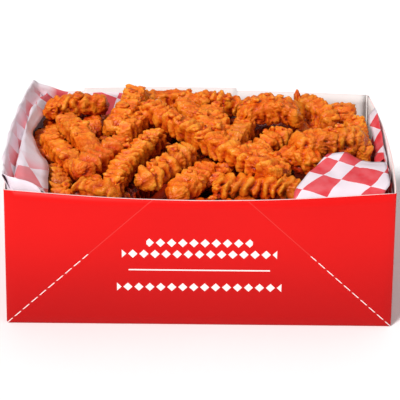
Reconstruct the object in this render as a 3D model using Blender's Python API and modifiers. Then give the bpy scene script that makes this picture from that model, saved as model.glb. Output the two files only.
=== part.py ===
"""Crinkle-cut french fries heaped in an open paperboard carton, on a sheet of greaseproof paper.

Three solids share one frame, in metres, with +X along the carton, +Y towards its back and the
origin at the middle of its base: the carton, the paper that lines it and the heap of fries.
"""
import math
import random

import bmesh
import bpy
from mathutils import Vector

MM = 0.001

# The carton, a nine by six inch tray of folded board

HALF_LENGTH = 0.1143
HALF_WIDTH = 0.0762
HEIGHT = 0.0876
BOARD = 0.0008
FRONT_BOW = 0.013
BACK_BOW = 0.006
SIDE_BOW = 0.004
FRONT_PULL = 0.0023
BACK_PULL = 0.0038
CORNER_LEAN = 1.1
FOLD_SHARPNESS = 4
SHEET_CUTS = (15, 7, 3)
BOARD_RED = (0.90, 0.03, 0.02)
BOARD_ROUGHNESS = 0.45

# The greaseproof paper inside it

PAPER = 0.0005
FLOOR_GAP = 0.0003
WALL_GAP = 0.0010
PAPER_PINK = (0.85, 0.62, 0.64)
PAPER_ROUGHNESS = 0.6

# Height of the paper's upper edge round the box, and the spans over which it changes
PAPER_LOW = 0.058
PAPER_OVER_RIM = 0.0013
WALL_END = 0.108
LEFT_CORNER_RISE = 0.006
LEFT_CORNER_BACK = (0.050, 0.072)
LEFT_CORNER_FRONT = (0.064, 0.0745)
RIGHT_EDGE = 0.082
RIGHT_EDGE_END = (0.040, 0.055)
BACK_EDGE_DROP = 0.002
BACK_CORNER_RISE = 0.0085
BACK_CORNER_SLOPE = (-0.115, -0.086)
BACK_EDGE_END = (-0.050, -0.035)
BAND_RISE = 0.0065
BAND_FALL = 0.0040
BAND_SLOPE = (-0.112, -0.090)
BAND_END = (-0.092, -0.084)
FLAP_EDGE = 0.0866
FLAP_START = (0.045, 0.055)

# The pleat over the left wall: how far each fold lies inwards of and above the one before it
CREST_IN = -0.0038
CREST_UP = 0.0098
CREST_END_IN = 0.0012
CREST_END_DROP = 0.0070
CREST_BACK_END = (0.054, 0.074)
CREST_FRONT_END = (0.050, 0.076)
VALLEY_IN = 0.0072
VALLEY_UP = -0.0130
RIDGE_IN = 0.0024
RIDGE_UP = 0.0088
RIDGE_DROP = 0.0045
RIDGE_DROP_SPAN = (0.035, 0.065)
HEM_IN = 0.0063
HEM_UP = -0.0072
HEM_FRONT_IN = 0.0115
HEM_FRONT_DROP = 0.0025
HEM_FRONT_SPAN = (0.0, 0.045)
NOTCH_IN = 0.0035
NOTCH_PLACE = 0.010
NOTCH_WIDTH = 0.010

# The strip along the right wall, and the run of the wall that it hangs on
STRIP_SPAN = (-0.030, 0.045)
STRIP_IN = 0.0012
STRIP_FRONT_IN = 0.0035
STRIP_FRONT_SPAN = (-0.010, 0.055)
STRIP_UP = 0.0070
STRIP_BACK_UP = 0.0060
STRIP_BACK_SPAN = (-0.010, 0.035)
STRIP_HEM = (-0.0050, 0.0, -0.0060)

# The corner folded in over the front rim: the step back and up to each fold, for its left part
# and for its right part, and how far its free end slants
FLAP_SPAN = (0.050, 0.105)
FLAP_OVER = (0.0, 0.0070, 0.0035)
FLAP_OVER_RIGHT = (0.0060, 0.0070, 0.0035)
FLAP_OVER_SPAN = (0.080, 0.098)
FLAP_ON = (0.0, 0.0125, 0.0015)
FLAP_ON_RIGHT = (0.0, 0.0105, 0.0010)
FLAP_ON_SPAN = (0.085, 0.100)
FLAP_END = (0.0, 0.0105, 0.0035)
FLAP_END_RIGHT = (0.0, 0.0105, -0.0015)
FLAP_END_SPAN = (0.084, 0.094)
SLANT_FROM = 0.098
SLANT_LENGTH = 0.042
SLANT_ON = 0.007
SLANT_END = 0.009

# The fries

RIDGE = 0.0075
RIDGE_DEPTH = 0.0018
END_SHARE = 0.62
SHORTEST_FRY = 0.026
CORE_GAP = 0.0018
CORE_EDGE = 0.063
CORE_RISE = 0.008
CORE_CUTS = (9, 5, 1)
CORE_CORNER_DROP = 0.006
CORE_CORNER = ((0.045, 0.065), (0.020, 0.040))
CORE_BACK_DROP = 0.009
CORE_BACK = ((0.015, 0.040), (0.030, 0.050))
FILLER_ROWS = 6
FILLER_COLUMNS = 5
FILLER_SHIFT = (0.25, 0.75)
FILLER_THICKNESSES = (0.0122, 0.0142)
FILLER_RISES = (0.05, 0.45)
FILLER_LENGTHS = (0.046, 0.074)
FILLER_PITCH = 8
FILLER_SEED = 11
RIGHT_LIMIT = 0.104
LEFT_LIMIT = -0.096
WALL_CLEARANCE = 0.0035
OUTER_TURN = math.radians(14)
CRUST_BROWN = (0.75, 0.20, 0.03)
CRUST_ROUGHNESS = 0.5

# Fries that show from above: place in x, y and z, heading from +X and pitch in degrees, length,
# bend to one side, arch upwards and thickness, the rest in millimetres
SHOWING_FRIES = (
    (5, -15, 94, -46, -4, 114, -5, 2, 12.6),
    (-1, 10, 94, -60, -4, 52, 0, 2, 12.6),
    (-38, -32, 87, -112, -3, 68, -3, 1, 12.6),
    (-20, -45, 89, -121, 0, 52, 2, 1, 13.0),
    (-60, -66, 81, -20, 0, 27, 0, 2, 13.0),
    (-81, -17, 82, -62, -2, 58, -2, 2, 12.6),
    (-85, -46, 75, -78, 0, 48, 2, 0, 13.2),
    (-59, -33, 89, -119, 0, 51, 2, 1, 13.2),
    (-4, -54, 82, -124, -4, 40, 0, 1, 14.6),
    (34, -59, 81, -2, 0, 50, 2, 1, 13.2),
    (40, -33, 86, -61, -5, 36, 0, 0, 13.8),
    (77, -17, 92, 12, 0, 46, -3, 3, 15.0),
    (43, 18, 93, 4, 0, 38, 4, 5, 15.0),
    (43, 33, 93, -6, 0, 36, 0, 4, 13.2),
    (74, 43, 87, -66, 0, 42, 3, 1, 13.2),
    (92, 50, 83, -94, 20, 30, 0, 0, 15.6),
    (97, 5, 86, -89, 0, 50, 0, 1, 12.6),
    (13, 56, 88, -27, 0, 32, 0, 1, 12.6),
    (-17, 57, 88, -4, 0, 44, 3, 1, 13.2),
    (10, 16, 89, -81, 0, 54, 0, 1, 13.8),
    (24, 3, 89, -108, 0, 34, 0, 1, 13.2),
    (59, -30, 86, -25, 0, 26, 0, 2, 14.0),
    (44, -5, 87, -122, 0, 32, 0, 1, 13.2),
    (-79.5, 42, 90.5, 17, 0, 38, 0, 2, 13.2),
    (-75, -1, 89, -66, 0, 54, 0, 1, 13.2),
    (-48, 28, 94, -102, 0, 62, 3, 2, 13.2),
    (-37, 16, 92, -119, 0, 46, 0, 1, 12.6),
    (15, -36, 81, -123, 0, 40, 0, 0, 12.6),
    (-71, 46, 79, 100, 0, 40, 0, 0, 13.2),
    (-92, 16, 77, 96, 0, 56, 0, 0, 12.6),
    (-99, 4, 76, 86, 0, 50, 0, 0, 12.6),
    (-90, 44, 75, 74, 0, 32, 0, 0, 12.6),
    (62, 34, 77, 8, 0, 62, 0, 0, 13.0),
    (50, 66, 67.5, 3, 0, 56, 0, 0, 12.6),
    (68.5, 56, 74, 86, -4, 34, 0, 0, 12.6),
    (16, 56, 75, -15, 0, 31, 0, 0, 12.6),
)


def clear_scene():
    for thing in list(bpy.data.objects):
        bpy.data.objects.remove(thing, do_unlink=True)


def material(name, colour, roughness):
    finish = bpy.data.materials.new(name)
    finish.use_nodes = True
    shader = finish.node_tree.nodes["Principled BSDF"]
    shader.inputs["Base Color"].default_value = (*colour, 1.0)
    shader.inputs["Roughness"].default_value = roughness
    shader.inputs["Metallic"].default_value = 0.0
    return finish


def add_object(name, bm, collection, finish):
    mesh = bpy.data.meshes.new(name)
    bm.to_mesh(mesh)
    bm.free()
    made = bpy.data.objects.new(name, mesh)
    made.data.materials.append(finish)
    collection.objects.link(made)
    return made


def soft_min(first, second):
    """The smaller of two distances, rounded where they meet as a fold in board is."""
    if first <= 0 or second <= 0:
        return 0.0
    power = FOLD_SHARPNESS
    return first * second / (first ** power + second ** power) ** (1 / power)


def lean(point):
    """Takes a point of an upright box to where the leaning, bowed walls carry it.

    The long walls are folded along two scores from their lower corners: the middle leans out
    and the two corner triangles turn with it.
    """
    x, y, z = point
    across, deep, up = x / HALF_LENGTH, y / HALF_WIDTH, z / HEIGHT
    bow = FRONT_BOW if y < 0 else BACK_BOW
    slope = bow / HEIGHT
    out = soft_min(z * slope, (HALF_LENGTH - abs(x)) * slope * CORNER_LEAN)
    pull = FRONT_PULL + (BACK_PULL - FRONT_PULL) * (deep + 1) / 2
    side = SIDE_BOW * (1 - min(deep * deep, 1)) - pull
    return Vector((x + across * up * side, y + deep * out, z))


def edges_along(bm, axis):
    """Edges that run along one axis of a box."""
    found = []
    for edge in bm.edges:
        step = edge.verts[1].co - edge.verts[0].co
        if abs(step[axis]) > 0.5 * step.length:
            found.append(edge)
    return found


def box_cage(inset, floor, top, cuts, open_top):
    """An upright box inside the carton's outline, cut into even cells with one face below."""
    bm = bmesh.new()
    bmesh.ops.create_cube(bm, size=2.0)
    half = Vector((HALF_LENGTH - inset, HALF_WIDTH - inset, (top - floor) / 2))
    bmesh.ops.scale(bm, vec=half, verts=bm.verts)
    bmesh.ops.translate(bm, vec=(0, 0, (top + floor) / 2), verts=bm.verts)
    if open_top:
        lid = [face for face in bm.faces if face.normal.z > 0.5]
        bmesh.ops.delete(bm, geom=lid, context="FACES_ONLY")
    for axis in (2, 0, 1):
        bmesh.ops.subdivide_edges(bm, edges=edges_along(bm, axis), cuts=cuts[axis], use_grid_fill=True)
    bm.normal_update()
    below = [face for face in bm.faces if face.normal.z < -0.5]
    bmesh.ops.dissolve_faces(bm, faces=below)
    return bm


def lean_all(bm):
    for vert in bm.verts:
        vert.co = lean(vert.co)


def thicken(thing, thickness, even):
    """Gives an open sheet its thickness, on its inner side; a sheet with sharp folds is not evened."""
    shell = thing.modifiers.new("thickness", "SOLIDIFY")
    shell.thickness = thickness
    shell.offset = -1.0
    shell.use_even_offset = even


def make_carton(collection):
    bm = box_cage(0.0, 0.0, HEIGHT, SHEET_CUTS, True)
    lean_all(bm)
    finish = material("red_board", BOARD_RED, BOARD_ROUGHNESS)
    thicken(add_object("carton", bm, collection, finish), BOARD, True)


def between(value, low, high):
    """How far a value has come from low to high, from 0 to 1 with soft ends."""
    share = min(max((value - low) / (high - low), 0.0), 1.0)
    return share * share * (3 - 2 * share)


def paper_top(x, y):
    """Height of the paper's upper edge at a place beside the wall, before any flap."""
    rim = HEIGHT + PAPER_OVER_RIM
    if x < -WALL_END:
        return rim + LEFT_CORNER_RISE * (between(y, *LEFT_CORNER_BACK) + between(-y, *LEFT_CORNER_FRONT))
    if x > WALL_END:
        return PAPER_LOW + (RIGHT_EDGE - PAPER_LOW) * (1 - between(y, *RIGHT_EDGE_END))
    if y > 0:
        standing = rim - BACK_EDGE_DROP + BACK_CORNER_RISE * (1 - between(x, *BACK_CORNER_SLOPE))
        return PAPER_LOW + (standing - PAPER_LOW) * (1 - between(x, *BACK_EDGE_END))
    band = rim + BAND_RISE - BAND_FALL * between(x, *BAND_SLOPE)
    left = (band - PAPER_LOW) * (1 - between(x, *BAND_END))
    right = (FLAP_EDGE - PAPER_LOW) * between(x, *FLAP_START)
    return PAPER_LOW + left + right


def add_row(bm, edges, place):
    """Extrudes a run of edges and moves each new corner from where it starts to its place."""
    made = bmesh.ops.extrude_edge_only(bm, edges=edges)["geom"]
    corners = {item for item in made if isinstance(item, bmesh.types.BMVert)}
    for vert in corners:
        vert.co = vert.co + place(vert.co.copy())
    run = [item for item in made if isinstance(item, bmesh.types.BMEdge)]
    return [edge for edge in run if edge.verts[0] in corners and edge.verts[1] in corners]


def rim_edges(bm, wanted):
    """The open edges whose two ends both pass a test."""
    rim = [edge for edge in bm.edges if edge.is_boundary]
    return [edge for edge in rim if all(wanted(vert.co) for vert in edge.verts)]


def face_outwards(bm):
    """Turns the faces of a sheet outwards, which its floor tells, because it looks down."""
    bmesh.ops.recalc_face_normals(bm, faces=bm.faces)
    floor = min(bm.faces, key=lambda face: face.calc_center_median().z)
    if floor.normal.z > 0:
        bmesh.ops.reverse_faces(bm, faces=bm.faces)


def make_liner(collection):
    inset = BOARD + WALL_GAP
    floor = BOARD + FLOOR_GAP
    bm = box_cage(inset, floor, HEIGHT, SHEET_CUTS, True)
    for vert in bm.verts:
        rise = (vert.co.z - floor) / (HEIGHT - floor)
        vert.co.z = floor + rise * (paper_top(vert.co.x, vert.co.y) - floor)
    lean_all(bm)
    left = rim_edges(bm, lambda co: co.x < -WALL_END)
    right = rim_edges(bm, lambda co: co.x > WALL_END and STRIP_SPAN[0] < co.y < STRIP_SPAN[1])
    front = rim_edges(bm, lambda co: FLAP_SPAN[0] < co.x < FLAP_SPAN[1] and co.y < 0)
    add_left_fold(bm, left)
    add_right_fold(bm, right)
    add_front_flap(bm, front)
    face_outwards(bm)
    finish = material("check_paper", PAPER_PINK, PAPER_ROUGHNESS)
    thicken(add_object("liner", bm, collection, finish), PAPER, False)


def add_left_fold(bm, edges):
    """Paper that stands over the left wall, turns in and lies down on the fries as a pleat."""

    def crest(co):
        back = between(co.y, *CREST_BACK_END)
        front = between(-co.y, *CREST_FRONT_END)
        return Vector((CREST_IN + CREST_END_IN * back, 0, CREST_UP - CREST_END_DROP * (back + front)))

    def valley(co):
        return Vector((VALLEY_IN, 0, VALLEY_UP))

    def ridge(co):
        return Vector((RIDGE_IN, 0, RIDGE_UP - RIDGE_DROP * between(co.y, *RIDGE_DROP_SPAN)))

    def hem(co):
        notch = math.exp(-((co.y - NOTCH_PLACE) / NOTCH_WIDTH) ** 2)
        front = between(-co.y, *HEM_FRONT_SPAN)
        return Vector((HEM_IN + HEM_FRONT_IN * front - NOTCH_IN * notch, 0, HEM_UP - HEM_FRONT_DROP * front))

    for place in (crest, valley, ridge, hem):
        edges = add_row(bm, edges, place)


def add_right_fold(bm, edges):
    """Paper that leans off the right wall and doubles over into a narrow strip."""

    def ridge(co):
        inwards = STRIP_IN + STRIP_FRONT_IN * between(-co.y, *STRIP_FRONT_SPAN)
        return Vector((-inwards, 0, STRIP_UP + STRIP_BACK_UP * between(co.y, *STRIP_BACK_SPAN)))

    def hem(co):
        return Vector(STRIP_HEM)

    for place in (ridge, hem):
        edges = add_row(bm, edges, place)


def add_front_flap(bm, edges):
    """The corner of the sheet, folded in over the front rim onto the fries."""

    def slant(co):
        return between(SLANT_FROM - co.x, 0.0, SLANT_LENGTH)

    def over(co):
        return Vector(FLAP_OVER).lerp(Vector(FLAP_OVER_RIGHT), between(co.x, *FLAP_OVER_SPAN))

    def onward(co):
        step = Vector(FLAP_ON).lerp(Vector(FLAP_ON_RIGHT), between(co.x, *FLAP_ON_SPAN))
        return step + Vector((SLANT_ON * slant(co), 0, 0))

    def to_end(co):
        step = Vector(FLAP_END).lerp(Vector(FLAP_END_RIGHT), between(co.x, *FLAP_END_SPAN))
        return step + Vector((SLANT_END * slant(co), 0, 0))

    for place in (over, onward, onward, to_end):
        edges = add_row(bm, edges, place)


def core_top(x, y):
    """Height of the packed lower fries: a low dome, sunk under the folded paper and at the back right."""
    dome = CORE_EDGE + CORE_RISE * (1 - (x / HALF_LENGTH) ** 2) * (1 - (y / HALF_WIDTH) ** 2)
    corner = between(x, *CORE_CORNER[0]) * between(-y, *CORE_CORNER[1])
    back = between(x, *CORE_BACK[0]) * between(y, *CORE_BACK[1])
    return dome - CORE_CORNER_DROP * corner - CORE_BACK_DROP * back


def make_core():
    inset = BOARD + WALL_GAP + PAPER + CORE_GAP
    floor = BOARD + FLOOR_GAP + PAPER + FLOOR_GAP
    bm = box_cage(inset, floor, CORE_EDGE, CORE_CUTS, False)
    for vert in bm.verts:
        share = (vert.co.z - floor) / (CORE_EDGE - floor)
        vert.co.z = floor + share * (core_top(vert.co.x, vert.co.y) - floor)
    lean_all(bm)
    return bm


class Fry:
    """One fry: a straight or gently bent stick of square section, in metres."""

    def __init__(self, place, heading, pitch, length, bend, arch, thickness):
        self.middle = Vector(place)
        level = Vector((math.cos(heading), math.sin(heading), 0))
        self.ahead = level * math.cos(pitch) + Vector((0, 0, math.sin(pitch)))
        self.aside = Vector((-math.sin(heading), math.cos(heading), 0))
        self.above = self.ahead.cross(self.aside)
        self.length = length
        self.bend = bend
        self.arch = arch
        self.half = thickness / 2

    def point(self, along):
        """A point of the centre line, a distance along from its middle."""
        bowed = 1 - (2 * along / self.length) ** 2
        return self.middle + self.ahead * along + (self.aside * self.bend + self.above * self.arch) * bowed


def showing_fries():
    fries = []
    for x, y, z, heading, pitch, *lengths in SHOWING_FRIES:
        place = Vector((x, y, z)) * MM
        sizes = [length * MM for length in lengths]
        fries.append(Fry(place, math.radians(heading), math.radians(pitch), *sizes))
    return fries


def wall_at(x, z, side):
    """Where the front wall (side -1) or the back wall (side 1) is at a place and height."""
    return lean((x, side * HALF_WIDTH, z)).y


def filler_fries():
    """Fries of the layer below, in rows from front to back; the outer rows lie along the walls."""
    draw = random.Random(FILLER_SEED)
    fries = []
    for row in range(FILLER_ROWS):
        side = {0: -1, FILLER_ROWS - 1: 1}.get(row, 0)
        turn = OUTER_TURN if side else math.pi / 2
        for column in range(FILLER_COLUMNS):
            across = (column + draw.uniform(*FILLER_SHIFT)) / FILLER_COLUMNS
            deep = (row + draw.uniform(*FILLER_SHIFT)) / FILLER_ROWS
            thickness = draw.uniform(*FILLER_THICKNESSES)
            x = LEFT_LIMIT + (RIGHT_LIMIT - LEFT_LIMIT) * across
            y = HALF_WIDTH * (2 * deep - 1)
            if side:
                y = wall_at(x, CORE_EDGE, side) - side * (WALL_CLEARANCE + thickness)
            z = core_top(x, y) + thickness * draw.uniform(*FILLER_RISES)
            angles = (draw.uniform(-turn, turn), math.radians(draw.uniform(-FILLER_PITCH, FILLER_PITCH)))
            fry = Fry((x, y, z), *angles, draw.uniform(*FILLER_LENGTHS), 0.0, 0.0, thickness)
            keep_inside(fry)
            fries.append(fry)
    return fries


def keep_inside(fry):
    """Shortens a fry, and draws it towards the middle, until both ends lie inside the paper."""
    margin = fry.half + WALL_CLEARANCE
    while fry.length > SHORTEST_FRY:
        ends = [fry.point(fry.length / 2), fry.point(-fry.length / 2)]
        if all(
            LEFT_LIMIT + fry.half < end.x < RIGHT_LIMIT - fry.half
            and wall_at(end.x, end.z, -1) + margin < end.y < wall_at(end.x, end.z, 1) - margin
            for end in ends
        ):
            return
        fry.length -= 2 * MM
        fry.middle -= Vector((math.copysign(MM, fry.middle.x), math.copysign(MM / 2, fry.middle.y), 0))


def fry_solid(fry):
    """A stick of square section with two rings to a ridge, one on its crest and one in its valley."""
    rings = 2 * max(round(fry.length / RIDGE), 2)
    bm = bmesh.new()
    bmesh.ops.create_cube(bm, size=1.0)
    bmesh.ops.subdivide_edges(bm, edges=edges_along(bm, 0), cuts=rings - 1, use_grid_fill=True)
    for vert in bm.verts:
        ring = round((vert.co.x + 0.5) * rings)
        half = fry.half + RIDGE_DEPTH * (0.5 if ring % 2 else -0.5)
        if ring in (0, rings):
            half = fry.half * END_SHARE
        along = (ring / rings - 0.5) * fry.length
        across = fry.aside * (vert.co.y * 2 * half)
        above = fry.above * (vert.co.z * 2 * half)
        vert.co = fry.point(along) + across + above
    return bm


def keep_largest_body(bm):
    """Drops loose scraps and the walls of sealed hollows, leaving the one outer body."""
    unseen = set(bm.faces)
    bodies = []
    while unseen:
        body = [unseen.pop()]
        for face in body:
            for edge in face.edges:
                for near in edge.link_faces:
                    if near in unseen:
                        unseen.remove(near)
                        body.append(near)
        bodies.append(body)
    bodies.sort(key=len)
    for body in bodies[:-1]:
        bmesh.ops.delete(bm, geom=body, context="FACES")


def make_fries(collection):
    finish = material("fried_crust", CRUST_BROWN, CRUST_ROUGHNESS)
    heap = add_object("fries", make_core(), collection, finish)
    sticks = bpy.data.collections.new("fries_to_join")
    bpy.context.scene.collection.children.link(sticks)
    for fry in filler_fries() + showing_fries():
        add_object("fry", fry_solid(fry), sticks, finish)
    join = heap.modifiers.new("join", "BOOLEAN")
    join.operation = "UNION"
    join.operand_type = "COLLECTION"
    join.collection = sticks
    join.solver = "EXACT"
    bpy.context.view_layer.objects.active = heap
    bpy.ops.object.modifier_apply(modifier="join")
    for stick in list(sticks.objects):
        bpy.data.objects.remove(stick, do_unlink=True)
    bpy.data.collections.remove(sticks)
    bm = bmesh.new()
    bm.from_mesh(heap.data)
    keep_largest_body(bm)
    bm.to_mesh(heap.data)
    bm.free()


def main():
    clear_scene()
    collection = bpy.data.collections.new("fries_in_a_carton")
    bpy.context.scene.collection.children.link(collection)
    make_carton(collection)
    make_liner(collection)
    make_fries(collection)


main()
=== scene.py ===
import math
import random

import bmesh
import bpy
from mathutils import Matrix, Vector, noise
from mathutils.bvhtree import BVHTree


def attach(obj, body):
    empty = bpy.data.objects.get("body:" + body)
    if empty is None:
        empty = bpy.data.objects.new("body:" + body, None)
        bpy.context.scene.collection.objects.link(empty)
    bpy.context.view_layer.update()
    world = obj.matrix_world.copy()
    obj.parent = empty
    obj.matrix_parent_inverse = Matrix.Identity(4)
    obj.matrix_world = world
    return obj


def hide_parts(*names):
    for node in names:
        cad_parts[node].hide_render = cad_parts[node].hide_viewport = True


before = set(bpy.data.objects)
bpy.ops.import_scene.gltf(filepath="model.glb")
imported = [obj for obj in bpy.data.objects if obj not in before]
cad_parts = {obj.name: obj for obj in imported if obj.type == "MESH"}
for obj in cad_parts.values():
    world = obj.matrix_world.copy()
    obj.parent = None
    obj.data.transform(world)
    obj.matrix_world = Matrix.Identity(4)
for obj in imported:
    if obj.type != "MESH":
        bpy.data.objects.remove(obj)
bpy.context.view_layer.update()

MM = 0.001

# The carton: one sheet of folding boxboard, offset printed in red outside and left bare inside,
# die-cut, creased and folded up into a tray. Its long walls bow outwards and are creased from
# their lower corners, where a row of short cuts lets the board fold.

HALF_LENGTH = 0.1143
HALF_WIDTH = 0.0762
HEIGHT = 0.0876
BOARD = 0.0008
FRONT_BOW = 0.013
BACK_BOW = 0.006
SIDE_BOW = 0.004
FRONT_PULL = 0.0023
BACK_PULL = 0.0038
CORNER_LEAN = 1.1
FOLD_SHARPNESS = 4
CARTON_CUTS = (43, 27, 13)
FOLD_ROUND = 0.0012
TAB_ENDS = (-0.080, 0.0245)
TAB_STEP = 0.0006
TAB_RISE = 0.0020

# The print, the creases and the row of cuts of the outer side
RED_TONES = ("DE0E10", "E41512")
# painted shade: the red darkens to this colour towards the foot of the walls, over this span of heights
FOOT_SHADE_RED = "B80B0C"
FOOT_SHADE_SPAN = (0.074, 0.0)
WORN_RED = "F59A90"
WORN_SHARE = 0.10
BARE_WHITE = "FBEFEC"
FIBRE_SCALE = 900.0
FIBRE_DEPTH = 0.00008
CREASE_SLOPE = 1.0
CREASE_WIDTH = 0.0007
CREASE_DEPTH = -4.0
CUT_PITCH = 0.0052
CUT_SHARE = 0.72
CUT_WIDTH = 0.0007
CUTS_UP_TO = 0.050
LONG_WALL = 0.0757
LOZENGE_PITCH = 0.0064
LOZENGE_RISE = 0.0031
LOZENGE_SIZE = 0.42
LOZENGE_FLATNESS = 0.45
PRINT_ROWS = ((0.0590, 0.0305, 0.0), (0.0512, 0.0447, 0.5), (0.0278, 0.0480, 0.0))
RULE_PLACE = 0.0400
RULE_REACH = 0.0410
RULE_WIDTH = 0.0009


def soft_min(first, second):
    """The smaller of two distances, rounded where they meet as a fold in board is."""
    if first <= 0 or second <= 0:
        return 0.0
    power = FOLD_SHARPNESS
    return first * second / (first ** power + second ** power) ** (1 / power)


def lean(point):
    """Takes a point of an upright box to where the leaning, bowed walls carry it.

    The long walls are folded along two scores from their lower corners: the middle leans out
    and the two corner triangles turn with it.
    """
    x, y, z = point
    across, deep, up = x / HALF_LENGTH, y / HALF_WIDTH, z / HEIGHT
    bow = FRONT_BOW if y < 0 else BACK_BOW
    slope = bow / HEIGHT
    out = soft_min(z * slope, (HALF_LENGTH - abs(x)) * slope * CORNER_LEAN)
    pull = FRONT_PULL + (BACK_PULL - FRONT_PULL) * (deep + 1) / 2
    side = SIDE_BOW * (1 - min(deep * deep, 1)) - pull
    return Vector((x + across * up * side, y + deep * out, z))


def edges_along(bm, axis):
    """Edges that run along one axis of a box."""
    found = []
    for edge in bm.edges:
        step = edge.verts[1].co - edge.verts[0].co
        if abs(step[axis]) > 0.9 * step.length:
            found.append(edge)
    return found


def cut_box(bm, cuts):
    """Cuts a box into even cells along its three axes."""
    for axis in (2, 0, 1):
        bmesh.ops.subdivide_edges(bm, edges=edges_along(bm, axis), cuts=cuts[axis], use_grid_fill=True)


def upright_box(inset, floor, top):
    """A box inside the carton's outline, open at the top."""
    bm = bmesh.new()
    bmesh.ops.create_cube(bm, size=2.0)
    half = Vector((HALF_LENGTH - inset, HALF_WIDTH - inset, (top - floor) / 2))
    bmesh.ops.scale(bm, vec=half, verts=bm.verts)
    bmesh.ops.translate(bm, vec=(0, 0, (top + floor) / 2), verts=bm.verts)
    bm.normal_update()
    lid = [face for face in bm.faces if face.normal.z > 0.5]
    bmesh.ops.delete(bm, geom=lid, context="FACES_ONLY")
    return bm


def add_piece(name, bm, materials, smooth_angle):
    """Makes a piece at the origin from a mesh, shaded smooth but for its sharp edges."""
    mesh = bpy.data.meshes.new(name)
    bm.to_mesh(mesh)
    bm.free()
    for finish in materials:
        mesh.materials.append(finish)
    mesh.shade_smooth()
    mesh.set_sharp_from_angle(angle=math.radians(smooth_angle))
    piece = bpy.data.objects.new(name, mesh)
    bpy.context.scene.collection.objects.link(piece)
    return piece


def linear(hex_colour):
    """A colour written as sRGB hex, in the linear values that a shader takes."""
    channels = []
    for start in (0, 2, 4):
        value = int(hex_colour[start:start + 2], 16) / 255
        channels.append(value / 12.92 if value <= 0.04045 else ((value + 0.055) / 1.055) ** 2.4)
    return (*channels, 1.0)


def add_node(tree, kind, settings=None, inputs=None):
    """Adds a node, sets it, and fills its sockets with values or links."""
    node = tree.nodes.new(kind)
    for name, value in (settings or {}).items():
        setattr(node, name, value)
    for socket, value in (inputs or {}).items():
        if isinstance(value, bpy.types.NodeSocket):
            tree.links.new(value, node.inputs[socket])
        else:
            node.inputs[socket].default_value = value
    return node


def new_material(name, roughness, specular=0.5):
    """A material with a bare shader; each finish adds its own nodes to it."""
    made = bpy.data.materials.new(name)
    made.use_nodes = True
    shader = made.node_tree.nodes["Principled BSDF"]
    shader.inputs["Roughness"].default_value = roughness
    shader.inputs["Specular IOR Level"].default_value = specular
    return made, made.node_tree, shader


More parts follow.
